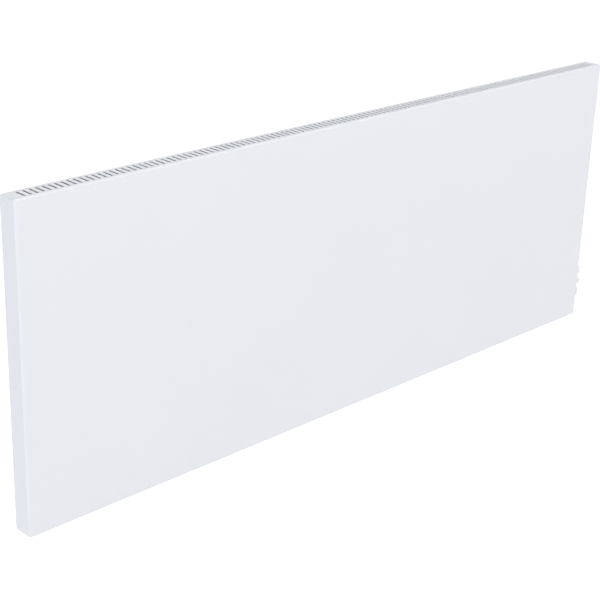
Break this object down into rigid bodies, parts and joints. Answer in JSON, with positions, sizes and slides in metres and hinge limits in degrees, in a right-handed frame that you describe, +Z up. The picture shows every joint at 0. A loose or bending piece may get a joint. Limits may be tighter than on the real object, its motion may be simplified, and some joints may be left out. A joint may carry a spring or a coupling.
{
  "type": "wall panel convector heater",
  "caption": "Flat white wall-mounted electric panel convector with a slotted top outlet, end controls and a tilting wall bracket.",
  "frame": {"origin": "on the wall plane, in the middle of the wall side of the bracket's lower crossbar, level with the hooks that the heater hangs on", "axes": "+X to the right seen from the front, along the casing's width; +Y into the wall; +Z up"},
  "size_m": [1.0363, 0.055, 0.4],
  "materials": {
    "white_paint": "satin powder coat",
    "white_plastic": "fine moulded texture",
    "zinc_steel": "galvanised, faint spangle",
    "spring_steel": "bare spring steel",
    "aluminium": "mill finish",
    "tube_steel": "heat-tinted tube",
    "ceramic": "unglazed ceramic",
    "black_plastic": "moulded",
    "black_rubber": "matt rubber",
    "brass": "turned",
    "wire_brown": "silicone sleeve",
    "wire_blue": "silicone sleeve",
    "wire_earth": "striped sleeve"
  },
  "bodies": {
    "wall_bracket": {"bracket_upright_left": "zinc_steel", "bracket_upright_right": "zinc_steel", "bracket_crossbar_lower": "zinc_steel", "bracket_crossbar_upper": "zinc_steel", "latch_clip_left": "spring_steel", "latch_clip_right": "spring_steel"},
    "heater": {"front_casing": "white_paint", "rear_panel": "zinc_steel", "heat_shield": "aluminium", "element_extrusion": "aluminium", "element_rod": "tube_steel", "element_bracket_left": "zinc_steel", "element_bracket_right": "zinc_steel", "element_bush_left": "ceramic", "element_bush_right": "ceramic", "element_rest": "zinc_steel", "partition": "zinc_steel", "lead_grommet_upper": "black_rubber", "lead_grommet_lower": "black_rubber", "supply_grommet": "black_rubber", "escutcheon": "white_plastic", "thermostat_body": "black_plastic", "switch_body_upper": "white_plastic", "switch_body_lower": "white_plastic", "terminal_block": "ceramic", "earth_post": "brass", "thermal_cutout": "black_plastic", "terminal_boot_left": "black_rubber", "terminal_boot_right": "black_rubber", "wire_live": "wire_brown", "wire_switched": "wire_brown", "wire_economy": "wire_brown", "wire_heating": "wire_brown", "wire_cutout": "wire_brown", "wire_return": "wire_blue", "wire_earth": "wire_earth", "wire_clip_left": "white_plastic", "wire_clip_middle": "white_plastic", "wire_clip_right": "white_plastic"},
    "thermostat_dial": {"thermostat_knob": "white_plastic", "thermostat_spindle": "brass"},
    "rocker_upper": {"switch_rocker_upper": "white_plastic"},
    "rocker_lower": {"switch_rocker_lower": "white_plastic"}
  },
  "joints": [
    {"name": "heater_tilt", "type": "hinge", "parent": "wall_bracket", "child": "heater", "pos_m": [0, -0.0274, 0], "axis": [1, 0, 0], "range_deg": [0, 28]},
    {"name": "thermostat_turn", "type": "hinge", "parent": "heater", "child": "thermostat_dial", "pos_m": [0.5194, -0.041, 0.004], "axis": [-1, 0, 0], "range_deg": [0, 270]},
    {"name": "rocker_upper_press", "type": "hinge", "parent": "heater", "child": "rocker_upper", "pos_m": [0.5173, -0.041, 0.022], "axis": [0, 0, -1], "range_deg": [0, 20]},
    {"name": "rocker_lower_press", "type": "hinge", "parent": "heater", "child": "rocker_lower", "pos_m": [0.5173, -0.041, -0.014], "axis": [0, 0, -1], "range_deg": [0, 20]}
  ]
}
